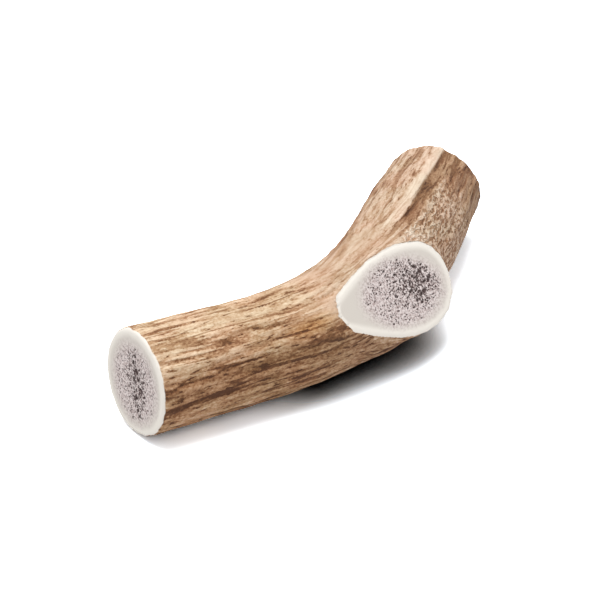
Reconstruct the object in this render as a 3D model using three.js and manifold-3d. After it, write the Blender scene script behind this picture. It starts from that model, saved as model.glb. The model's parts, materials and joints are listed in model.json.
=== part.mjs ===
// A section of shed deer antler. The beam bends at its middle and is sawn across at both ends, and the one
// tine that forks from the outside of the bend is sawn off obliquely, close to the beam. It lies on its side.
// Millimetres and degrees, +Z up, +X from the near saw cut to the far one, origin under the box's middle.
//
// The antler is worked out as one grown form, and then parted at its fork into the beam and the tine stub.

import * as THREE from 'three';
import { mergeVertices } from 'three/addons/utils/BufferGeometryUtils.js';
import Module from 'manifold-3d';

// ---- Driving dimensions ----

const BEAM_LENGTH = 169; // along the curved centreline
const BEAM_STATIONS = [ // evenly spaced from the near cut to the far cut; heading is the direction in plan
  { heading: -24, radius: 17.1 },
  { heading: -22, radius: 16.5 },
  { heading: 3, radius: 17.1 },
  { heading: 20, radius: 18.1 },
  { heading: 20, radius: 16.7 },
];
const SAW_BEVEL = 0.8; // sanded edge of the end cuts
const NEAR_SAW = { turn: 5, rise: -5 }; // how far each end cut is turned and raised from square
const FAR_SAW = { turn: -8, rise: 10 };
const SAW_BLEND = 22; // over which sections turn from square to the saw cut
const SAW_SPARE = 3; // what the tine is left longer before it is cut

const TINE = {
  start: 80.4, // along the beam's centreline
  drop: 0.6, // from that centreline down to the tine's own
  heading: -55,
  rise: 12.7,
  halfWidth: 15.5,
  halfHeight: 12.6,
  taper: 0.005, // share of its size lost for each millimetre
};
const TINE_SAW = { heading: -93.3, rise: 37.7, offset: 15.5 }; // offset along the normal, from the tine's start
const FORK_BLEND = 11; // how softly the beam and the tine run into each other
const FORK_BLEND_ALONG = { none: -6, full: 8 }; // along the tine, so the beam's other side stays as it was
const SEAT = { // the beam and the tine stub part along two faces that meet at the seat's deepest line
  depth: 9, // from the tine's start to that line, straight on from the near arm
  crotchHeading: -113, // outward directions of the face that ends in the fork's crotch and of the other one
  rootHeading: -76,
  rise: 12,
  gap: 0.3,
};

// The bark's forms. Heights are in millimetres, and count is how many waves go round the beam.
const BROAD_WAVES = [
  { height: 0.22, count: 3, twist: 1 / 47, phase: 0.6 }, // twist: radians round the beam per millimetre
  { height: 0.16, count: 5, twist: -1 / 36, phase: 0 },
];
const FINE_RIDGES = [
  { height: 0.22, count: 14, sway: 1, phase: 0 }, // sway: how far they follow the grain's wander
  { height: 0.2, count: 23, sway: -1, phase: 1.2 },
];
const GRAIN_WANDER = [ // radians that the fine ridges wander round the beam
  { width: 0.16, length: 29, phase: 0 },
  { width: 0.07, length: 11, phase: 2 },
];
const RIDGE_SWELL = { mean: 0.75, change: 0.35 }; // the fine ridges' height varies over the beam
const BARK_SINK = 0.35; // the ridges stand in the beam's radius, and the furrows between them lie deeper
const LONG_RIDGE = { // it rises between from and full; side, step, slope and groove are in radians
  from: 94,
  full: 112,
  side: 0.17,
  height: 0.9,
  step: [-0.07, 0.03],
  slope: [0.05, 0.5],
  groove: { at: -0.13, width: 0.09, depth: 0.5 },
};
const PEARLS = { // spacing is along the beam, and count is how many would go round it
  from: 96,
  full: 108,
  fading: 128,
  to: 150,
  side: 1.05,
  width: 0.5,
  height: 0.4,
  spacing: 9.1,
  count: 18,
};
const BARK_FADE = { tineSaw: [-1, 5], end: [-4, 6] }; // distances over which the bark gets its full relief

const SIDES = 90;
const ROWS = 50;
const CLOSER_ROWS = [ // where the tine's walls run almost along the rays that shape them
  { at: 60, width: 12, weight: 0.7 },
  { at: 90, width: 9, weight: 1.9 },
];

// ---- Centreline ----

const { clamp, degToRad, lerp, smoothstep } = THREE.MathUtils;
const UP = new THREE.Vector3(0, 0, 1);

function direction(heading, rise) {
  const level = Math.cos(degToRad(rise));
  return new THREE.Vector3(
    level * Math.cos(degToRad(heading)),
    level * Math.sin(degToRad(heading)),
    Math.sin(degToRad(rise)),
  );
}

const stationCurve = new THREE.CatmullRomCurve3(
  BEAM_STATIONS.map(({ heading, radius }) => new THREE.Vector3(heading, radius, 0)), false, 'catmullrom');

// The beam rests on its side all along, so its centre is always one radius above the ground.
function makeRibs() {
  const ribs = [];
  const foot = new THREE.Vector3();
  for (let s = 0; s <= BEAM_LENGTH; s += 1) {
    const { x: heading, y: radius } = stationCurve.getPoint(s / BEAM_LENGTH);
    ribs.push({ heading, radius, centre: new THREE.Vector3(foot.x, foot.y, radius) });
    foot.add(direction(heading, 0));
  }
  return ribs;
}

const ribs = makeRibs();

function ribAt(s) {
  const before = Math.min(Math.floor(s), ribs.length - 2);
  const [a, b] = [ribs[before], ribs[before + 1]];
  const share = s - before;
  const heading = a.heading + (b.heading - a.heading) * share;
  return {
    centre: a.centre.clone().lerp(b.centre, share),
    along: direction(heading, 0),
    left: direction(heading + 90, 0),
  };
}

// ---- The grown form: signed distances in millimetres, negative inside ----

const tineStart = ribAt(TINE.start).centre.addScaledVector(UP, -TINE.drop);
const tineAlong = direction(TINE.heading, TINE.rise);
const tineAcross = new THREE.Vector3().crossVectors(tineAlong, UP).normalize();
const tineUp = new THREE.Vector3().crossVectors(tineAcross, tineAlong);

function beamDistance(point) {
  let nearest = Infinity;
  for (const { centre, radius } of ribs) {
    nearest = Math.min(nearest, point.distanceTo(centre) - radius);
  }
  return nearest;
}

// The tine's inner end is rounded, and lies well inside the beam.
function tineDistance(from) {
  const along = from.dot(tineAlong);
  const size = 1 - TINE.taper * Math.max(0, along);
  const across = from.dot(tineAcross) / (TINE.halfWidth * size);
  const rise = from.dot(tineUp) / (TINE.halfHeight * size);
  const behind = Math.min(0, along) / TINE.halfHeight;
  return (Math.hypot(across, rise, behind) - 1) * Math.sqrt(TINE.halfWidth * TINE.halfHeight) * size;
}

function antlerDistance(point) {
  const fromTineStart = point.clone().sub(tineStart);
  const beam = beamDistance(point);
  const tine = tineDistance(fromTineStart);
  const overlap = Math.max(FORK_BLEND - Math.abs(beam - tine), 0) / FORK_BLEND;
  const share = smoothstep(fromTineStart.dot(tineAlong), FORK_BLEND_ALONG.none, FORK_BLEND_ALONG.full);
  return Math.min(beam, tine) - share * overlap * overlap * FORK_BLEND / 4;
}

// ---- Bark ----

// Where a point is on the beam: how far along it, and how far round it, from the top towards the left.
function placeOnBeam(point) {
  const distances = ribs.map(({ centre }) => point.distanceTo(centre));
  const nearest = distances.indexOf(Math.min(...distances));
  const { heading, centre } = ribs[nearest];
  const gap = point.clone().sub(centre);
  return {
    s: nearest + gap.dot(direction(heading, 0)),
    turn: Math.atan2(gap.dot(direction(heading + 90, 0)), gap.dot(UP)),
  };
}

// Height of the bark's ridges, furrows and pearls at a point of the skin.
function barkRelief(point) {
  const { s, turn } = placeOnBeam(point);
  const wander = GRAIN_WANDER.reduce(
    (sum, { width, length, phase }) => sum + width * Math.sin(s / length + phase), 0);
  const patches = Math.sin(s / 17 + 2 * turn) * Math.sin(s / 9.5 - 3 * turn);
  const swell = RIDGE_SWELL.mean + RIDGE_SWELL.change * patches;
  let height = longRidge(s, turn) + pearls(s, turn) - BARK_SINK;
  for (const wave of BROAD_WAVES) {
    height += wave.height * Math.sin(wave.count * turn + wave.twist * s + wave.phase);
  }
  for (const ridge of FINE_RIDGES) {
    height += ridge.height * swell * Math.cos(ridge.count * (turn + ridge.sway * wander) + ridge.phase);
  }
  return height;
}

// One ridge stands out along the top of the far arm, with a sharp step and a groove on its right side.
function longRidge(s, turn) {
  const { from, full, side, height, step, slope, groove } = LONG_RIDGE;
  const offset = turn + side;
  const crest = smoothstep(offset, ...step) * (1 - smoothstep(offset, ...slope));
  const foot = Math.exp(-(((offset - groove.at) / groove.width) ** 2));
  return smoothstep(s, from, full) * (height * crest - groove.depth * foot);
}

// Small round bumps cover the right flank of the far arm, next to the fork.
function pearls(s, turn) {
  const { from, full, fading, to, side, width, height, spacing, count } = PEARLS;
  const patch = smoothstep(s, from, full) * (1 - smoothstep(s, fading, to));
  const flank = Math.exp(-(((turn + side) / width) ** 2));
  const rows = Math.sin(2 * Math.PI * s / spacing + 4 * turn); // they slant, so no row runs straight round
  return height * patch * flank * rows * Math.cos(count * turn + s / 7);
}

// ---- Skin: a cylinder whose vertices are sent out along rays from the centreline ----

const RAY_LEAN = { forearm: 0.95, crotch: 1.5 }; // on the fork's side, per millimetre outwards
const LEANING = { from: 30, full: 78, crotchFrom: 74, crotchFull: 92, fading: 98, to: 154 };
const FIRST_REACH = 8; // inside the antler all along
const REACH_STEPS = 60;
const STEP_SHARE = 0.8; // of the distance still to go
const ROW_SEARCH = 0.1; // rows are placed to this

const sawNormals = [
  { at: 0, normal: direction(BEAM_STATIONS[0].heading + NEAR_SAW.turn, NEAR_SAW.rise) },
  { at: BEAM_LENGTH, normal: direction(BEAM_STATIONS.at(-1).heading + FAR_SAW.turn, FAR_SAW.rise) },
];
const tineSawNormal = direction(TINE_SAW.heading, TINE_SAW.rise);
const tineSawPoint = tineStart.clone().addScaledVector(tineSawNormal, TINE_SAW.offset);

// Rays on the fork's side lean along the tine, and those near an end lie in its saw cut.
function rayDirection(s, outward, rib) {
  const facing = clamp(-outward.dot(rib.left), 0, 1);
  const leaning = smoothstep(s, LEANING.from, LEANING.full) * (1 - smoothstep(s, LEANING.fading, LEANING.to));
  const crotch = smoothstep(s, LEANING.crotchFrom, LEANING.crotchFull);
  let lean = lerp(RAY_LEAN.forearm, RAY_LEAN.crotch, crotch) * facing * leaning;
  for (const { at, normal } of sawNormals) {
    const share = 1 - smoothstep(Math.abs(s - at), 0, SAW_BLEND);
    lean -= share * outward.dot(normal) / rib.along.dot(normal);
  }
  return outward.clone().addScaledVector(rib.along, lean);
}

// How far a ray goes to the smooth form's surface, or to just beyond the tine's saw cut.
function reachOfRay(centre, ray) {
  const toSaw = tineSawPoint.clone().sub(centre).dot(tineSawNormal) + SAW_SPARE;
  const closing = ray.dot(tineSawNormal);
  const limit = closing > 0 ? toSaw / closing : Infinity;
  let reach = FIRST_REACH;
  for (let step = 0; step < REACH_STEPS; step += 1) {
    const distance = antlerDistance(centre.clone().addScaledVector(ray, reach));
    reach -= STEP_SHARE * distance / ray.length();
  }
  return Math.min(reach, limit);
}

// Places of the skin's rows: one at each sanded edge, and the rest between, closer where they are needed.
function makeRows() {
  const density = (s) => 1 + CLOSER_ROWS.reduce(
    (sum, { at, width, weight }) => sum + weight * Math.exp(-(((s - at) / width) ** 2)), 0);
  const [first, last] = [SAW_BEVEL, BEAM_LENGTH - SAW_BEVEL];
  const sums = [0];
  for (let s = first; s < last; s += ROW_SEARCH) sums.push(sums.at(-1) + density(s));
  const rows = [0];
  for (let row = 0; row < ROWS - 1; row += 1) {
    const reached = sums.findIndex((sum) => sum >= sums.at(-1) * row / (ROWS - 2));
    rows.push(Math.min(first + reached * ROW_SEARCH, last));
  }
  rows[ROWS] = BEAM_LENGTH;
  return rows;
}

const rows = makeRows();

// The bark is plainer where the saw cuts' edges were sanded.
function skinPoint(s, turn, fromCentre) {
  const rib = ribAt(s);
  if (fromCentre === 0) return rib.centre;
  const outward = UP.clone().multiplyScalar(Math.cos(turn)).addScaledVector(rib.left, Math.sin(turn));
  const ray = rayDirection(s, outward, rib);
  const smooth = rib.centre.clone().addScaledVector(ray, reachOfRay(rib.centre, ray));
  const toTineSaw = tineSawPoint.clone().sub(smooth).dot(tineSawNormal);
  const toEnd = Math.min(s, BEAM_LENGTH - s);
  const full = smoothstep(toTineSaw, ...BARK_FADE.tineSaw) * smoothstep(toEnd, ...BARK_FADE.end);
  const bevel = Math.max(0, SAW_BEVEL - toEnd);
  return smooth.addScaledVector(ray, barkRelief(smooth) * full - bevel);
}

function makeSkin() {
  const geometry = new THREE.CylinderGeometry(1, 1, 1, SIDES, ROWS);
  const position = geometry.getAttribute('position');
  const vertex = new THREE.Vector3();
  for (let i = 0; i < position.count; i += 1) {
    vertex.fromBufferAttribute(position, i);
    const s = rows[Math.round((vertex.y + 0.5) * ROWS)];
    const fromCentre = Math.round(Math.hypot(vertex.x, vertex.z));
    const moved = skinPoint(s, Math.atan2(vertex.z, vertex.x), fromCentre);
    position.setXYZ(i, moved.x, moved.y, moved.z);
  }
  return geometry;
}

// ---- Cutting and parting ----

const BLOCK_SIZE = 400; // larger than the antler
const MERGE_DISTANCE = 1e-5;

const wasm = await Module();
wasm.setup();

function toSolid(geometry) {
  geometry.deleteAttribute('normal');
  geometry.deleteAttribute('uv');
  const merged = mergeVertices(geometry, MERGE_DISTANCE);
  return new wasm.Manifold(new wasm.Mesh({
    numProp: 3,
    vertProperties: new Float32Array(merged.getAttribute('position').array),
    triVerts: new Uint32Array(merged.index.array),
  }));
}

function toGeometry(solid) {
  const { vertProperties, triVerts } = solid.getMesh();
  const geometry = new THREE.BufferGeometry();
  geometry.setAttribute('position', new THREE.BufferAttribute(vertProperties, 3));
  geometry.setIndex(new THREE.BufferAttribute(triVerts, 1));
  geometry.computeVertexNormals();
  return geometry;
}

// A block that fills everything on the side of a plane that its normal points to.
function sideOfPlane(normal, point) {
  const block = new THREE.BoxGeometry(BLOCK_SIZE, BLOCK_SIZE, BLOCK_SIZE);
  block.translate(0, 0, BLOCK_SIZE / 2);
  block.applyQuaternion(new THREE.Quaternion().setFromUnitVectors(UP, normal));
  block.translate(point.x, point.y, point.z);
  return toSolid(block);
}

// Everything beyond both faces of the seat, which belongs to the tine. The faces stand back by the gap.
function tineSide(gap) {
  const deepest = tineStart.clone().addScaledVector(direction(BEAM_STATIONS[0].heading, 0), SEAT.depth);
  const sides = [SEAT.crotchHeading, SEAT.rootHeading].map((heading) => {
    const normal = direction(heading, SEAT.rise);
    return sideOfPlane(normal, deepest.clone().addScaledVector(normal, -gap));
  });
  return sides[0].intersect(sides[1]);
}

const antler = toSolid(makeSkin()).subtract(sideOfPlane(tineSawNormal, tineSawPoint));

// ---- The two pieces ----

const BARK_BROWN = 0xa57c50;
const BARK_TAN = 0xc9ab82;

function piece(name, solid, color) {
  const material = new THREE.MeshStandardMaterial({ color, roughness: 0.72, metalness: 0 });
  const mesh = new THREE.Mesh(toGeometry(solid), material);
  mesh.name = name;
  return mesh;
}

const deerAntler = new THREE.Group();
deerAntler.add(piece('main_beam', antler.subtract(tineSide(SEAT.gap)), BARK_BROWN));
deerAntler.add(piece('tine_stub', antler.intersect(tineSide(0)), BARK_TAN));

const box = new THREE.Box3().setFromObject(deerAntler);
const middle = box.getCenter(new THREE.Vector3());
deerAntler.position.set(-middle.x, -middle.y, -box.min.z);

export default deerAntler;
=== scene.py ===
"""A section of deer antler, sawn at both ends and across one tine, lying on a white studio floor.

Every object is in metres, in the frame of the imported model: +X runs from the near saw cut to the far one,
and +Z is up.
"""

import json
import math
import random

import bmesh
import bpy
import numpy as np
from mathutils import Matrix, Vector, kdtree, noise
from mathutils.bvhtree import BVHTree


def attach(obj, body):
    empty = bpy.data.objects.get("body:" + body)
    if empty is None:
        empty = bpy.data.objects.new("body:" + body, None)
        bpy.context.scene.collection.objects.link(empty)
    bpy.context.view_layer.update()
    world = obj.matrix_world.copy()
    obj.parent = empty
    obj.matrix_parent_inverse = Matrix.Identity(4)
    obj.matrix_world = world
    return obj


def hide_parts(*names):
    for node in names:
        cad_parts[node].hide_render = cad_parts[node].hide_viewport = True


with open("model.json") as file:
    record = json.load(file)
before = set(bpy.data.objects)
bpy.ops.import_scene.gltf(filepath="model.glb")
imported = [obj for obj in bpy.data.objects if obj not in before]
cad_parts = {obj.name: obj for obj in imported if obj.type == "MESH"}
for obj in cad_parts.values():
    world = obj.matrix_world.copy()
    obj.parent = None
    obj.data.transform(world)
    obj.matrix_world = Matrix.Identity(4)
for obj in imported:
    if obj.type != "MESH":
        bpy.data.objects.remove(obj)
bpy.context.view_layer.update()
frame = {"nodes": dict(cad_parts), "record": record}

MM = 0.001

# ---- Camera ----
# A long lens from the tine's side, a little above the antler and turned towards its near end.

CAMERA_TARGET = Vector((-3.45, 11.42, 12.25)) * MM
CAMERA_DISTANCE = 0.8
CAMERA_AZIMUTH = math.radians(-53.5)
CAMERA_ELEVATION = math.radians(30.1)

camera_data = bpy.data.cameras.new("camera")
camera_data.lens = 150
camera_data.sensor_width = 36
camera_data.clip_start = 0.05
camera_data.clip_end = 20
camera = bpy.data.objects.new("camera", camera_data)
bpy.context.scene.collection.objects.link(camera)
bpy.context.scene.camera = camera
towards_camera = Vector((
    math.sin(CAMERA_AZIMUTH) * math.cos(CAMERA_ELEVATION),
    -math.cos(CAMERA_AZIMUTH) * math.cos(CAMERA_ELEVATION),
    math.sin(CAMERA_ELEVATION),
))
camera.location = CAMERA_TARGET + CAMERA_DISTANCE * towards_camera
camera.rotation_euler = towards_camera.to_track_quat("Z", "Y").to_euler()

# ---- Antler: form ----
# A shed antler is one grown piece of bone. The beam and its tine were sawn through with a band saw, and the
# edges of the cuts were sanded round. The skin is one mesh, fused over the beam and the tine stub.

VOXEL = 0.49 * MM
SQUASH = 0.5  # the skin is remeshed while this much shorter, so its faces are longer along the grain
SEAT_PUSH = 0.6 * MM  # the tine's seat is pushed into the beam, so that nothing shows where they meet
SEAT_FACING = 0.85  # faces of the tine stub that look this much towards +Y are its seat
WELD = 1e-6  # points nearer to each other than this become one
SOLID_FLUSH = 0.9999  # a solid's face that looks this nearly along a cut's axis is part of the cut
SKIN_FLUSH = 0.99  # the same for the skin, which is less even
SMOOTHING = 0.5
BARK_ROUNDS = 16  # of smoothing, away from the saw cuts
EDGE_ROUNDS = 3  # of smoothing, all over

# These are in millimetres.
EDGE_KEPT = 1.8  # the bark this near a saw cut's plane isn't smoothed with the rest
SNAP_REACH = 0.7  # skin this near a saw cut's plane, and over the cut, lies in it
JUST_BELOW = -0.05  # a place no lower than this under a cut's plane counts as on the cut
OFF_FACE = 0.02  # a place no further than this beside a cut's face counts as over it
RIM_STEP = 0.3  # between the points that are kept from a rim


class SawCut:
    """A flat saw cut and the porous core that shows in it. Sizes are in millimetres, in the cut's plane."""

    def __init__(self, mount, node, core, heart, holes, sanded, bared):
        self.point = np.array(mount["pos_m"]) / MM
        self.normal = np.array(mount["axis"]) / np.linalg.norm(mount["axis"])
        self.across = np.cross((0, 0, 1), self.normal)
        self.across /= np.linalg.norm(self.across)
        self.rise = np.cross(self.normal, self.across)
        self.core = core
        self.heart = heart
        self.holes = holes  # the widest pores: across, rise and radius
        self.sanded = sanded  # how far in from its rim the cut is rounded off
        self.bared = bared  # how far past its rim the sanding took the bark off
        self.find_face(frame["nodes"][node].data)

    def find_face(self, mesh):
        """Keeps the cut's flat face and its rim from a copy of the solid's mesh."""
        bm = bmesh.new()
        bm.from_mesh(mesh)
        bmesh.ops.remove_doubles(bm, verts=bm.verts, dist=WELD)
        bm.normal_update()
        others = [face for face in bm.faces if face.normal.dot(self.normal) < SOLID_FLUSH]
        bmesh.ops.delete(bm, geom=others, context="FACES")
        heights = [self.height_above(np.array(vert.co / MM)) for vert in bm.verts]
        self.point = self.point + self.normal * sum(heights) / len(heights)
        rim = []
        for edge in bm.edges:
            if edge.is_boundary:
                first, last = (np.array(vert.co / MM) for vert in edge.verts)
                steps = max(1, round(float(np.linalg.norm(last - first)) / RIM_STEP))
                rim.extend(first + (last - first) * step / steps for step in range(steps))
        bmesh.ops.scale(bm, verts=bm.verts, vec=(1 / MM,) * 3)
        self.face = BVHTree.FromBMesh(bm)
        bm.free()
        self.rim = kdtree.KDTree(len(rim))
        for index, place in enumerate(rim):
            self.rim.insert(place, index)
        self.rim.balance()

    def height_above(self, points):
        return (points - self.point) @ self.normal

    def in_plane(self, points):
        offsets = points - self.point
        return offsets @ self.across, offsets @ self.rise

    def over_face(self, place):
        """Whether a place lies straight above or below the flat face."""
        flat = Vector(place) - Vector(self.normal) * self.height_above(np.array(place))
        return self.face.find_nearest(flat)[3] < OFF_FACE

    def from_rim(self, place):
        """Distance from the rim: negative on the flat face."""
        distance = self.rim.find(place)[2]
        on_face = self.height_above(np.array(place)) > JUST_BELOW and self.over_face(place)
        return -distance if on_face else distance


def inside_oval(oval, across, rise):
    """1 at an oval's centre, 0 on its edge, negative outside it."""
    turn = math.radians(oval["turn"])
    dx, dy = across - oval["centre"][0], rise - oval["centre"][1]
    along = (dx * math.cos(turn) + dy * math.sin(turn)) / oval["half"][0]
    beside = (dy * math.cos(turn) - dx * math.sin(turn)) / oval["half"][1]
    return 1 - np.hypot(along, beside)


mounts = {mount["name"]: mount for mount in frame["record"]["mounts"]}
near_cut = SawCut(
    mounts["near_cut"], "main_beam", sanded=0.6, bared=0.7,
    core={"centre": (0.2, -0.4), "half": (13.6, 13.8), "turn": 0},
    heart={"centre": (1.2, 0.0), "half": (6.5, 12.5), "turn": 14},
    holes=((0.5, 3.9, 1.0), (3.8, -1.3, 0.85), (-1.4, 6.4, 0.6), (2.7, -8.1, 0.55), (-0.6, 1.2, 0.6),
           (1.9, 1.6, 0.6), (5.6, -4.2, 0.5), (1.2, -4.6, 0.6), (2.6, -2.9, 0.5), (-0.6, 8.6, 0.5)),
)
far_cut = SawCut(
    mounts["far_cut"], "main_beam", sanded=0.6, bared=0.5,
    core={"centre": (0.0, 0.6), "half": (12.8, 13.0), "turn": 0},
    heart={"centre": (-1.0, 0.5), "half": (8.0, 10.0), "turn": 0},
    holes=((-1.5, 2.0, 0.9), (1.8, -0.8, 0.7), (-3.9, -1.2, 0.6), (0.6, 4.9, 0.5), (-0.4, -4.4, 0.55)),
)
tine_cut = SawCut(
    mounts["tine_cut"], "tine_stub", sanded=1.4, bared=0.1,
    core={"centre": (2.4, -0.6), "half": (20.0, 12.2), "turn": -9},
    heart={"centre": (8.6, -0.6), "half": (13.5, 9.6), "turn": -14},
    holes=((13.2, 2.1, 0.8), (14.6, -1.7, 0.7), (11.2, -3.9, 0.9), (9.4, 1.9, 0.5), (6.4, -5.4, 0.6),
           (5.4, -2.0, 0.4), (2.7, 5.2, 0.4), (12.0, 4.2, 0.55), (8.0, -6.6, 0.5), (15.9, 1.2, 0.4)),
)
saw_cuts = (near_cut, far_cut, tine_cut)


def fused_skin(name):
    """One closed skin of even quads over copies of the beam and the tine stub."""
    bm = bmesh.new()
    bm.from_mesh(frame["nodes"]["tine_stub"].data)
    bmesh.ops.remove_doubles(bm, verts=bm.verts, dist=WELD)
    bm.normal_update()
    seat = {vert for face in bm.faces if face.normal.y > SEAT_FACING for vert in face.verts}
    bmesh.ops.translate(bm, verts=list(seat), vec=(0, SEAT_PUSH, 0))
    bm.from_mesh(frame["nodes"]["main_beam"].data)
    bmesh.ops.remove_doubles(bm, verts=bm.verts, dist=WELD)
    bmesh.ops.scale(bm, verts=bm.verts, vec=(SQUASH, 1, 1))
    mesh = bpy.data.meshes.new(name)
    bm.to_mesh(mesh)
    bm.free()
    skin = bpy.data.objects.new(name, mesh)
    bpy.context.scene.collection.objects.link(skin)
    fuse = skin.modifiers.new("fuse", "REMESH")
    fuse.mode = "VOXEL"
    fuse.voxel_size = VOXEL
    evaluated = skin.evaluated_get(bpy.context.evaluated_depsgraph_get())
    skin.data = bpy.data.meshes.new_from_object(evaluated)
    skin.modifiers.clear()
    return skin


def even_out(mesh):
    """Smooths the skin, lays what is over a saw cut flat, and gives each core a finer mesh."""
    bm = bmesh.new()
    bm.from_mesh(mesh)
    bmesh.ops.scale(bm, verts=bm.verts, vec=(1 / SQUASH, 1, 1))
    places = np.array([vert.co[:] for vert in bm.verts]) / MM
    away_from_cuts = np.max([cut.height_above(places) for cut in saw_cuts], axis=0) < -EDGE_KEPT
    bark_verts = [vert for vert, away in zip(bm.verts, away_from_cuts) if away]
    for verts, rounds in ((bark_verts, BARK_ROUNDS), (bm.verts, EDGE_ROUNDS)):
        for _ in range(rounds):
            bmesh.ops.smooth_vert(
                bm, verts=verts, factor=SMOOTHING, use_axis_x=True, use_axis_y=True, use_axis_z=True,
            )
    for cut in saw_cuts:
        for vert in bm.verts:
            above = cut.height_above(np.array(vert.co / MM))
            if above > 0 or (above > -SNAP_REACH and cut.over_face(vert.co / MM)):
                vert.co -= Vector(cut.normal) * above * MM
    bm.normal_update()
    core_edges = set()
    for cut in saw_cuts:
        for face in bm.faces:
            if face.normal.dot(cut.normal) > SKIN_FLUSH:
                centre = np.array(face.calc_center_median() / MM)
                in_core = inside_oval(cut.core, *cut.in_plane(centre)) > 0
                if cut.height_above(centre) > JUST_BELOW and in_core:
                    core_edges.update(face.edges)
    bmesh.ops.subdivide_edges(bm, edges=list(core_edges), cuts=1, use_grid_fill=True)
    bm.to_mesh(mesh)
    bm.free()


antler = fused_skin("antler")
even_out(antler.data)

# ---- Antler: bark ----
# Velvet left the bark when the antler hardened. Ridges and blood furrows run with its grain, dark where dirt
# stayed in them and pale where the ridges were rubbed. One long ridge runs up the far half, and small pearls
# stand beside the fork. Lengths are in millimetres and turns in radians.

BEAM_LENGTH = 169
STATION_HEADINGS = (-24, -22, 3, 20, 20)  # degrees in plan, of the beam's centreline at even stations
CENTRE_HEIGHT = 17.4
BEAM_RADIUS = 17
TWIST = 0.018  # a millimetre: how the grain winds towards the inside of the bend, left of the long ridge
TWIST_START = 60  # along the beam
RIDGE_TURN = 0.2  # where the long ridge's steep side runs
NO_BARED_BONE = 99.0  # for places far from every cut
CUT_REACH = 12  # how far below a saw cut's plane its rim is looked for
TIP_START = 23.5  # from the tine cut's mount to where the saw only grazed the bark
TIP_END = 26.5
GRAZED = 4  # how much further from bare bone the bark then is
COARSE_HEIGHT = 0.3
FINE_HEIGHT = 0.26
FURROW_DEPTH = 0.34
CREST_HEIGHT = 0.25
FOOT_DEPTH = 0.3
DARK_BANDS = (  # wide furrows: start and end along the beam, their turns there, and half their width
    (6, 26, 0.84, 0.88, 1.1),
    (3, 40, 1.27, 1.21, 0.35),
    (4, 40, 1.47, 1.40, 0.5),
    (8, 32, 1.72, 1.66, 0.9),
    (26, 60, 1.60, 1.50, 0.6),
    (5, 34, 0.30, 0.36, 0.4),
    (14, 52, 0.55, 0.50, 0.35),
    (12, 60, -2.2, -2.3, 0.9),
    (70, 120, 2.6, 2.7, 1.0),
    (20, 90, -1.2, -1.4, 0.7),
)


def rising(value, low, high):
    """0 below low, 1 above high, and smooth between them."""
    share = np.clip((value - low) / (high - low), 0, 1)
    return share * share * (3 - 2 * share)


def falling(value, low, high):
    return 1 - rising(value, low, high)


def stretch(value, start, full, fading, end):
    """1 from full to fading, 0 before start and after end, and smooth between them."""
    return rising(value, start, full) * falling(value, fading, end)


def centreline(near_point):
    """Places and directions at each millimetre of the beam's centreline, in plan."""
    stations = np.linspace(0, BEAM_LENGTH, len(STATION_HEADINGS))
    headings = np.radians(np.interp(np.arange(BEAM_LENGTH + 1), stations, STATION_HEADINGS))
    steps = np.stack([np.cos(headings), np.sin(headings)], axis=1)
    places = near_point + np.concatenate([np.zeros((1, 2)), np.cumsum(steps[:-1], axis=0)])
    return places, steps


def straightened(points):
    """Each point's place if the beam's bend were undone: along it, to its left, and above its centre."""
    places, steps = centreline(near_cut.point[:2])
    gaps = points[:, None, :2] - places[None]
    nearest = (gaps ** 2).sum(axis=2).argmin(axis=1)
    gap = gaps[np.arange(len(points)), nearest]
    step = steps[nearest]
    along = nearest + (gap * step).sum(axis=1)
    left = gap[:, 1] * step[:, 0] - gap[:, 0] * step[:, 1]
    return along, left, points[:, 2] - CENTRE_HEIGHT


def grain_noise(places, length, width, seed):
    """Smooth noise from about -0.7 to 0.7, drawn out along the grain."""
    along, left, above = places
    domain = np.stack([along / length + seed, left / width, above / width + seed * 3.7], axis=1)
    return np.array([noise.noise(Vector(point)) for point in domain.tolist()])


def wound(places, twist):
    """The same places after the beam is wound round its centreline."""
    along, left, above = places
    angle = twist * (along - TWIST_START)
    return along, left * np.cos(angle) - above * np.sin(angle), above * np.cos(angle) + left * np.sin(angle)


def wandering(places, seed, amount):
    """The same places, moved a little round the beam so that the grain wanders."""
    drift = amount * grain_noise(places, 30, 9, seed)
    return places[0], places[1] + drift, places[2] + drift


def bark_relief(grain, seed):
    """Ridges and furrows that run with the grain, and how deep each place is in a narrow furrow."""
    coarse = grain_noise(grain, 16, 2.4, seed)
    fine = grain_noise(grain, 8, 1.3, seed + 3.4)
    line = grain_noise(grain, 34, 2.6, seed + 7.2)
    patch = grain_noise(grain, 15, 4, seed + 1.6)
    furrow = np.exp(-(line / 0.085) ** 2) * rising(patch, -0.15, 0.15)
    return COARSE_HEIGHT * coarse + FINE_HEIGHT * fine, furrow


def dark_bands(straight, turn):
    """How deep each place is in one of the wide furrows, which waver and break up."""
    along = straight[0]
    depth = np.zeros(len(along))
    waver = 0.06 * grain_noise(straight, 9, 6, 2.2)
    unbroken = rising(grain_noise(straight, 7, 1.6, 9.9), -0.45, 0.1)
    for start, end, turn_there, turn_after, width in DARK_BANDS:
        middle = turn_there + (turn_after - turn_there) * (along - start) / (end - start)
        off = (turn + waver - middle) * BEAM_RADIUS / width
        reach = stretch(along, start - 3, start + 3, end - 8, end + 2)
        depth = np.maximum(depth, np.exp(-off ** 2) * reach * unbroken)
    return depth


def vectors(source, attribute):
    values = np.empty(len(source) * 3)
    source.foreach_get(attribute, values)
    return values.reshape(-1, 3)


points = vectors(antler.data.vertices, "co") / MM
normals = vectors(antler.data.vertex_normals, "vector")
straight = straightened(points)
along, left, above_centre = straight
turn = np.arctan2(-left, above_centre)  # 0 on top, positive towards the tine's side

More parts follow.
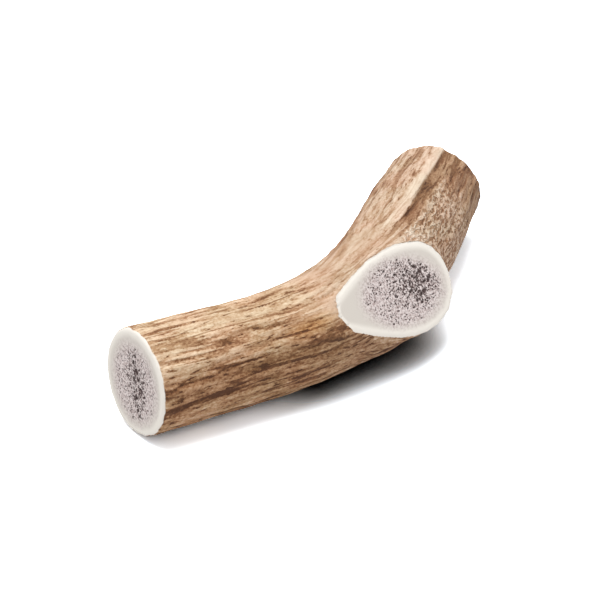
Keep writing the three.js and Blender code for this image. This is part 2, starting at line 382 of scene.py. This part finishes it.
past_bared = np.full(len(points), NO_BARED_BONE)
for cut in saw_cuts:
    close = np.flatnonzero(cut.height_above(points) > -CUT_REACH)
    distances = np.array([cut.from_rim(place) for place in points[close].tolist()]) - cut.bared
    if cut is tine_cut:
        distances += GRAZED * rising(-cut.in_plane(points[close])[0], TIP_START, TIP_END)
    past_bared[close] = np.minimum(past_bared[close], distances)
bark = rising(past_bared, -0.4, 1.4)

# Regions of the bark, from 0 to 1. Each is given by where it starts, is full, fades and ends.
past_ridge = (turn - RIDGE_TURN) * BEAM_RADIUS + 0.35 * grain_noise(straight, 14, 20, 7.7)
ridge_length = rising(along, 92, 106)
ridge_crest = ridge_length * stretch(past_ridge, -4.2, -2.2, -0.5, 0.1)
ridge_foot = ridge_length * stretch(past_ridge, -0.3, 0.4, 0.8, 1.9)
# Left of the long ridge the bark is paler, and on its tine's side darker: partly the bark's own tone, partly
# a painted lit side and a painted shaded side.
before_ridge_pale_and_painted_light = rising(along, 98, 112) * falling(past_ridge, -0.3, 0.5)
beside_ridge_dark_and_painted_shade = rising(along, 100, 112) * rising(past_ridge, -0.3, 0.5)
pearled = stretch(along, 92, 104, 126, 154) * stretch(turn, 0.32, 0.5, 1.8, 2.3)
slant = stretch(along, 56, 74, 98, 124) * stretch(turn, -1.4, -0.7, -0.4, 0.22)
# Paler on top and darker on the near arm's low side: partly the bark's own tone, partly painted light from
# above and painted shade below.
paler_top_and_painted_light = falling(np.abs(turn - 0.1), 0.4, 1.4)
near_end = falling(along, 12, 38) * falling(turn, 0.8, 1.2)
lower_side_brown_and_painted_shade = falling(along, 60, 90) * rising(turn, 1.05, 1.35)
before_tine = stretch(along, 44, 52, 64, 84) * stretch(turn, 0.1, 0.5, 0.7, 1.1)
at_bend = stretch(along, 42, 66, 92, 112) * falling(turn, 0.9, 1.3)
past_bend = rising(along, 52, 76) * falling(turn, 0.0, 0.5)
golden_patch = np.exp(-((along - 52) / 9) ** 2 - ((turn - 0.95) * BEAM_RADIUS / 3.5) ** 2)

grain = wandering(straight, 11.3, 1.1)
slanted_grain = wandering(wound(straight, TWIST), 6.1, 0.5)
relief, furrow = bark_relief(grain, 1.7)
slanted_relief, slanted_furrow = bark_relief(slanted_grain, 4.9)
relief += (slanted_relief - relief) * slant
furrow += (slanted_furrow - furrow) * slant
furrow = np.maximum(furrow, dark_bands(straight, turn))
bark_height = (relief - FURROW_DEPTH * furrow) * (1 - 0.55 * np.maximum(pearled, ridge_crest))
bark_height += CREST_HEIGHT * ridge_crest - FOOT_DEPTH * ridge_foot
moved = points + normals * (bark_height * bark)[:, None]

tone = 0.12 * grain_noise(straight, 45, 12, 4.4)
# Besides the bark's own tone this holds painted light: paler on top and left of the long ridge, and painted
# shade, darker low on the near arm and on the ridge's tine side.
for region, paler in (
    (paler_top_and_painted_light, 0.14), (near_end, 0.12), (lower_side_brown_and_painted_shade, -0.1), (before_tine, 0.11), (past_bend, -0.06),
    (before_ridge_pale_and_painted_light, 0.05), (beside_ridge_dark_and_painted_shade, -0.21), (ridge_crest, 0.2), (ridge_foot, -0.15), (pearled, 0.14),
):
    tone += paler * region
calm = np.maximum.reduce([
    0.75 * pearled, 0.45 * at_bend, 0.25 * slant,
    0.55 * ridge_crest, 0.35 * beside_ridge_dark_and_painted_shade, 0.22 * before_ridge_pale_and_painted_light,
])
golden = np.maximum(golden_patch, 0.35 * falling(along, 45, 75))

# ---- Antler: porous core ----
# Inside its compact wall an antler is a sponge of bone, coarsest at its heart. The saw opened it in all
# three cuts, so the bigger pores are pits in the mesh; the finer ones are in the material.

PORE_DEPTH = 0.8
PORES = 260  # tries for each cut, besides its widest holes
PORE_SIZES = (0.2, 0.42)  # radii; they are smaller outside the heart, and a little wider at its centre
PORE_MARGIN = 0.15  # share of the core that stays clear of open pores, inside its edge
PORE_GAP = 0.75  # between two pores' centres, as a share of both radii
SANDED_SLOPE = 0.35  # how deep the sanding went at the rim, as a share of its reach
IN_PLANE = 0.01


def scatter_pores(cut, rng):
    """A cut's open pores: its widest holes, and small ones thrown at its core that are kept apart."""
    pores = list(cut.holes)
    (cx, cy), (hx, hy) = cut.core["centre"], cut.core["half"]
    for _ in range(PORES):
        a = cx + rng.uniform(-hx, hx)
        b = cy + rng.uniform(-hy, hy)
        heart = max(0.0, float(inside_oval(cut.heart, a, b)))
        chance = rng.random()
        radius = rng.uniform(*PORE_SIZES) * (0.75 + 0.4 * heart)
        if chance > 0.3 + 1.6 * heart or inside_oval(cut.core, a, b) < PORE_MARGIN:
            continue
        if all(math.hypot(a - pore[0], b - pore[1]) > PORE_GAP * (radius + pore[2]) for pore in pores):
            pores.append((a, b, radius))
    return pores


rng = random.Random(4)
core_depth = np.full(len(points), -1.0)
pore_depth = np.zeros(len(points))
heart_share = np.zeros(len(points))
for cut in saw_cuts:
    on_cut = (np.abs(cut.height_above(points)) < IN_PLANE) & (past_bared < -cut.bared)
    a, b = cut.in_plane(points[on_cut])
    core_depth[on_cut] = inside_oval(cut.core, a, b)
    heart_share[on_cut] = np.clip(inside_oval(cut.heart, a, b), 0, 1)
    uneven = 0.35 * grain_noise(points[on_cut].T, 1.1, 1.1, 3.0)
    depths = np.zeros(len(a))
    for pore_across, pore_rise, radius in scatter_pores(cut, rng):
        gap = np.hypot(a - pore_across, b - pore_rise) / (radius * 1.25)
        depths = np.maximum(depths, 1 - (gap + uneven) ** 2)
    pore_depth[on_cut] = depths
    edge = np.clip(1 + (past_bared[on_cut] + cut.bared) / cut.sanded, 0, 1)
    sinking = depths * PORE_DEPTH + edge ** 2 * cut.sanded * SANDED_SLOPE
    moved[on_cut] -= cut.normal * sinking[:, None]
antler.data.vertices.foreach_set("co", (moved * MM).ravel())
antler.data.update()
for polygon in antler.data.polygons:
    polygon.use_smooth = True

# ---- Antler: material ----
# Bark in tans and browns over cream bone; the bone shows on the saw cuts and their sanded edges. The skin's
# points carry where each finish lies and how the grain runs.

for name, values in (
    ("slant", slant), ("relief", relief), ("furrow", furrow), ("calm", calm), ("pearled", pearled),
    ("tone", tone), ("golden", golden), ("past_bared", past_bared), ("core_depth", core_depth),
    ("heart", heart_share), ("pore", pore_depth),
):
    attribute = antler.data.attributes.new(name, "FLOAT", "POINT")
    attribute.data.foreach_set("value", values.astype(np.float32))
for name, places in (("grain", grain), ("slanted_grain", slanted_grain)):
    attribute = antler.data.attributes.new(name, "FLOAT_VECTOR", "POINT")
    attribute.data.foreach_set("vector", np.stack(places, axis=1).astype(np.float32).ravel())


class Shading:
    """Adds nodes to a tree and links them in one call."""

    def __init__(self, tree):
        self.tree = tree

    def plug(self, socket, value):
        if isinstance(value, bpy.types.NodeSocket):
            self.tree.links.new(value, socket)
        elif value is not None:
            socket.default_value = value

    def add(self, kind, *inputs, **settings):
        node = self.tree.nodes.new(kind)
        for key, value in settings.items():
            setattr(node, key, value)
        for socket, value in zip(node.inputs, inputs):
            self.plug(socket, value)
        return node

    def attribute(self, name, output="Fac"):
        return self.add("ShaderNodeAttribute", attribute_name=name).outputs[output]

    def math(self, operation, *inputs):
        return self.add("ShaderNodeMath", *inputs, operation=operation).outputs[0]

    def sum(self, *terms):
        """Adds up weighted values, given as (value, weight)."""
        total = 0.0
        for value, weight in terms:
            total = self.math("MULTIPLY_ADD", value, weight, total)
        return total

    def span(self, value, low, high, to_low=0.0, to_high=1.0):
        """Takes low to high smoothly to another range, and holds at its ends."""
        settings = {"interpolation_type": "SMOOTHSTEP"}
        return self.add("ShaderNodeMapRange", value, low, high, to_low, to_high, **settings).outputs[0]

    def blend(self, share, first, second):
        """Between two numbers."""
        return self.sum((self.math("SUBTRACT", second, first), share), (first, 1.0))

    def mix(self, share, first, second, blend="MIX"):
        """Between two colours. Sockets 6 and 7 are the node's colour inputs, and output 2 its colour."""
        node = self.add("ShaderNodeMix", data_type="RGBA", blend_type=blend)
        for index, value in ((0, share), (6, first), (7, second)):
            self.plug(node.inputs[index], value)
        return node.outputs[2]

    def grey(self, value):
        """A grey of this lightness."""
        return self.add("ShaderNodeCombineColor", value, value, value).outputs[0]

    def ramp(self, value, *stops):
        node = self.add("ShaderNodeValToRGB", value)
        ramp = node.color_ramp
        ramp.elements[0].position, ramp.elements[0].color = stops[0]
        ramp.elements[1].position, ramp.elements[1].color = stops[-1]
        for position, color in stops[1:-1]:
            ramp.elements.new(position).color = color
        return node.outputs[0]

    def scaled(self, vector, scale):
        return self.add("ShaderNodeVectorMath", vector, scale, operation="MULTIPLY").outputs[0]

    def noise(self, vector, scale, detail, roughness=0.5, output="Fac"):
        node = self.add("ShaderNodeTexNoise")
        inputs = {"Vector": vector, "Scale": scale, "Detail": detail, "Roughness": roughness}
        for name, value in inputs.items():
            self.plug(node.inputs[name], value)
        return node.outputs[output]

    def streaks(self, grain, length, width, detail):
        """Noise from -0.5 to 0.5, in streaks of this length and width along the grain."""
        stretched = self.scaled(grain, (1 / length, 1 / width, 1 / width))
        return self.math("SUBTRACT", self.noise(stretched, 1.0, detail), 0.5)

    def ragged(self, vector, scale, amount):
        """The same places, each moved at random by up to about half of amount."""
        color = self.noise(vector, scale, 2.0, output="Color")
        centred = self.add("ShaderNodeVectorMath", color, (0.5, 0.5, 0.5), operation="SUBTRACT").outputs[0]
        settings = {"operation": "MULTIPLY_ADD"}
        return self.add("ShaderNodeVectorMath", centred, (amount,) * 3, vector, **settings).outputs[0]


FURROW = (0.085, 0.033, 0.012, 1)
BROWN = (0.215, 0.105, 0.045, 1)
TAN = (0.405, 0.25, 0.145, 1)
PALE = (0.60, 0.462, 0.335, 1)
RUBBED = (0.75, 0.64, 0.505, 1)
OCHRE = (1.05, 0.92, 0.62, 1)  # this and the next are laid over the others
ROSY = (1.03, 0.96, 0.97, 1)
WALL = (0.81, 0.765, 0.70, 1)
CREAM = (0.63, 0.585, 0.53, 1)
MARROW = (0.42, 0.335, 0.32, 1)
SPONGE = (0.71, 0.63, 0.61, 1)
# Near black in the pores: painted shade for the depth of open holes.
PORE = (0.055, 0.026, 0.024, 1)
MIDDLE_LEVEL = 0.54  # of the bark's colours, from FURROW at 0 to RUBBED at 1
PORE_COVER = 0.93
BUMP_HEIGHT = 0.35 * MM

material = bpy.data.materials.new("antler")
material.use_nodes = True
shade = Shading(material.node_tree)
shader = material.node_tree.nodes["Principled BSDF"]
shader.inputs["Specular IOR Level"].default_value = 0.3
object_place = shade.add("ShaderNodeTexCoord").outputs["Object"]
grain_place = shade.attribute("grain", "Vector")
slanted_place = shade.attribute("slanted_grain", "Vector")


def bark_pattern(place, size):
    """How pale the bark is, about 0, from streaks of four sizes, and the dark lines and dashes over it."""
    place = shade.ragged(shade.scaled(place, (1 / size,) * 3), 1.1, 0.5)
    long_streaks = shade.streaks(place, length=26, width=2.4, detail=3)
    short_streaks = shade.streaks(place, length=9, width=1.55, detail=3)
    dashes = shade.streaks(place, length=3.4, width=0.85, detail=2)
    specks = shade.streaks(place, length=0.9, width=0.55, detail=2)
    paleness = shade.sum((long_streaks, 0.55), (short_streaks, 0.8), (dashes, 0.85), (specks, 0.85))
    line = shade.math("ABSOLUTE", shade.streaks(place, length=46, width=2.3, detail=1))
    unbroken = shade.span(shade.streaks(place, length=22, width=3.4, detail=1), -0.1, 0.02)
    lines = shade.math("MULTIPLY", shade.span(line, 0.08, 0.035), unbroken)
    return paleness, shade.math("MAXIMUM", lines, shade.span(dashes, -0.11, -0.2))


slanting = shade.attribute("slant")
patterns = zip(bark_pattern(grain_place, size=1.0), bark_pattern(slanted_place, size=2.0))
paleness, marks = (shade.blend(slanting, first, second) for first, second in patterns)
contrast = shade.math("SUBTRACT", 1.0, shade.attribute("calm"))
paleness_seen = shade.math("MULTIPLY", paleness, contrast)
marks = shade.math("MULTIPLY", marks, contrast)
dirt = shade.math("MULTIPLY", shade.attribute("furrow"), shade.span(paleness, 0.35, -0.2, 0.3, 1.3))
pearl_grain = shade.streaks(shade.ragged(grain_place, 0.7, 1.9), length=2.7, width=0.85, detail=1)
pearls = shade.math("MULTIPLY", shade.span(pearl_grain, -0.16, 0.12), shade.attribute("pearled"))
level = shade.sum(
    (paleness_seen, 0.74),
    (shade.attribute("relief"), 0.24),
    (shade.attribute("tone"), 1.0),
    (dirt, -0.17),
    (marks, -0.32),
    (pearls, 0.42),
    (shade.attribute("pearled"), -0.19),
)
level = shade.math("ADD", level, MIDDLE_LEVEL)
bark_color = shade.ramp(level, (0.0, FURROW), (0.27, BROWN), (0.5, TAN), (0.75, PALE), (1.0, RUBBED))
rosiness = shade.span(shade.streaks(object_place, length=14 * MM, width=8 * MM, detail=2), -0.15, 0.15)
for share, tint in ((rosiness, ROSY), (shade.attribute("golden"), OCHRE)):
    bark_color = shade.mix(share, bark_color, shade.mix(1.0, bark_color, tint, "MULTIPLY"))

off_rim = shade.attribute("past_bared")
at_heart = shade.attribute("heart")
core_wobble = shade.math("SUBTRACT", shade.noise(object_place, 380, 3), 0.5)
core = shade.math("MULTIPLY_ADD", core_wobble, 0.22, shade.attribute("core_depth"))
bone_color = shade.mix(shade.span(off_rim, -1.4, -3.6), WALL, CREAM)
mottle = shade.span(shade.noise(object_place, 1400, 2, 0.6), 0.38, 0.58)
bone_color = shade.mix(shade.span(core, -0.1, 0.3), bone_color, shade.mix(mottle, MARROW, SPONGE))
torn_place = shade.ragged(object_place, 900, 0.9 * MM)


def fine_pores(cell, radius, more_at_heart):
    """Round pores, one to a cell of this many millimetres, ragged and of uneven size."""
    voronoi = shade.add("ShaderNodeTexVoronoi")
    shade.plug(voronoi.inputs["Vector"], torn_place)
    voronoi.inputs["Scale"].default_value = 1 / (cell * MM)
    uneven = shade.add("ShaderNodeSeparateColor", voronoi.outputs["Color"]).outputs[0]
    reach = shade.sum((voronoi.outputs["Distance"], -1.0), (uneven, 0.24), (at_heart, more_at_heart))
    return shade.span(reach, -radius - 0.03, -radius + 0.05)


wide_pores = fine_pores(cell=0.85, radius=0.12, more_at_heart=0.26)
small_pores = fine_pores(cell=0.5, radius=0.09, more_at_heart=0.2)
spots = shade.math("MULTIPLY", shade.math("MAXIMUM", wide_pores, small_pores), shade.span(core, 0.06, 0.3))
spots = shade.math("MAXIMUM", spots, shade.span(shade.attribute("pore"), 0.15, 0.6))
# The pores, the pits in the mesh and the finer ones alike, are painted near black as painted shade.
bone_color = shade.mix(shade.math("MULTIPLY", spots, PORE_COVER), bone_color, PORE)

rim_wobble = shade.math("SUBTRACT", shade.noise(object_place, 300, 3), 0.5)
is_bark = shade.span(shade.math("MULTIPLY_ADD", rim_wobble, 1.1, off_rim), -0.15, 0.2)
shade.plug(shader.inputs["Base Color"], shade.mix(is_bark, bone_color, bark_color))
shade.plug(shader.inputs["Roughness"], shade.span(is_bark, 0, 1, 0.5, 0.68))
bark_bump = shade.sum((paleness_seen, 0.9), (marks, -0.5), (pearls, 1.6))
bump = shade.add("ShaderNodeBump")
bump.inputs["Strength"].default_value = 0.85
bump.inputs["Distance"].default_value = BUMP_HEIGHT
shade.plug(bump.inputs["Height"], shade.blend(is_bark, shade.math("MULTIPLY", spots, -1.2), bark_bump))
shade.plug(shader.inputs["Normal"], bump.outputs["Normal"])
antler.data.materials.clear()
antler.data.materials.append(material)

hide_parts("main_beam", "tine_stub")
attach(antler, "root")

# ---- Floor and light ----
# White paper, lit by a big soft box nearly overhead and a little behind, by a weak one in front that opens
# the saw cuts, and by the white room around them.

FLOOR_SIZE = 6
PAPER = 0.8
PAPER_SEEN = 2.3  # the camera sees the paper burnt out to white, all but the shadow, which is real shade deepened by painted shade
CONTACT_REACH = 60 * MM  # how far away the antler still closes the paper in and darkens it with painted shade
# the centre of the painted shadow on the paper, under the fork
FORK = (-6 * MM, -14 * MM)
PAINTED_FORK_SHADOW_REACH = 50 * MM  # round the fork a deeper painted shadow lies on the paper, out to here
COOL = (0.93, 1.0, 1.06, 1)  # evens out the warm light that the antler throws on the paper

floor_mesh = bmesh.new()
bmesh.ops.create_grid(floor_mesh, x_segments=1, y_segments=1, size=FLOOR_SIZE)
floor = bpy.data.objects.new("floor", bpy.data.meshes.new("floor"))
floor_mesh.to_mesh(floor.data)
floor_mesh.free()
bpy.context.scene.collection.objects.link(floor)
paper = bpy.data.materials.new("paper")
paper.use_nodes = True
paper.node_tree.nodes.clear()
sheet = Shading(paper.node_tree)
# Painted shade: where ambient occlusion finds the antler closing the paper in, the paper that the camera
# sees is darkened, and round the fork a deeper painted shadow lies over the real one.
openness = sheet.add("ShaderNodeAmbientOcclusion", (1, 1, 1, 1), CONTACT_REACH).outputs["AO"]
place = sheet.add("ShaderNodeSeparateXYZ", sheet.add("ShaderNodeTexCoord").outputs["Object"]).outputs
off = [sheet.math("SUBTRACT", place[axis], FORK[axis]) for axis in (0, 1)]
from_fork = sheet.math("SQRT", sheet.sum(*((sheet.math("MULTIPLY", gap, gap), 1.0) for gap in off)))
painted_fork_shadow = sheet.span(from_fork, PAINTED_FORK_SHADOW_REACH, 0.4 * PAINTED_FORK_SHADOW_REACH)
painted_shadow_lightness = sheet.blend(painted_fork_shadow, sheet.span(openness, 0.02, 0.16), sheet.span(openness, 0.15, 0.85))
paper_seen = sheet.mix(1.0, sheet.grey(sheet.math("MULTIPLY", painted_shadow_lightness, PAPER_SEEN)), COOL, "MULTIPLY")
colors = (sheet.grey(PAPER), paper_seen)
diffuse = [sheet.add("ShaderNodeBsdfDiffuse", color).outputs[0] for color in colors]
is_seen = sheet.add("ShaderNodeLightPath").outputs["Is Camera Ray"]
surface = sheet.add("ShaderNodeMixShader", is_seen, *diffuse).outputs[0]
sheet.add("ShaderNodeOutputMaterial", surface)
floor.data.materials.append(paper)

world = bpy.data.worlds.new("room")
bpy.context.scene.world = world
world.use_nodes = True
world.node_tree.nodes["Background"].inputs["Color"].default_value = (1, 1, 1, 1)
world.node_tree.nodes["Background"].inputs["Strength"].default_value = 0.6


def soft_box(name, azimuth, elevation, distance, size, power):
    """A square area light that faces the antler. Azimuth is measured as the camera's is."""
    light = bpy.data.lights.new(name, "AREA")
    light.size = size
    light.energy = power
    lamp = bpy.data.objects.new(name, light)
    bpy.context.scene.collection.objects.link(lamp)
    turned, raised = math.radians(azimuth), math.radians(elevation)
    towards_lamp = Vector((
        math.sin(turned) * math.cos(raised),
        -math.cos(turned) * math.cos(raised),
        math.sin(raised),
    ))
    lamp.location = towards_lamp * distance
    lamp.rotation_euler = towards_lamp.to_track_quat("Z", "Y").to_euler()


soft_box("key", azimuth=-165, elevation=80, distance=1.2, size=0.9, power=13.5)
soft_box("fill", azimuth=-20, elevation=28, distance=1.4, size=0.8, power=1.2)

bpy.context.scene.view_settings.view_transform = "Standard"
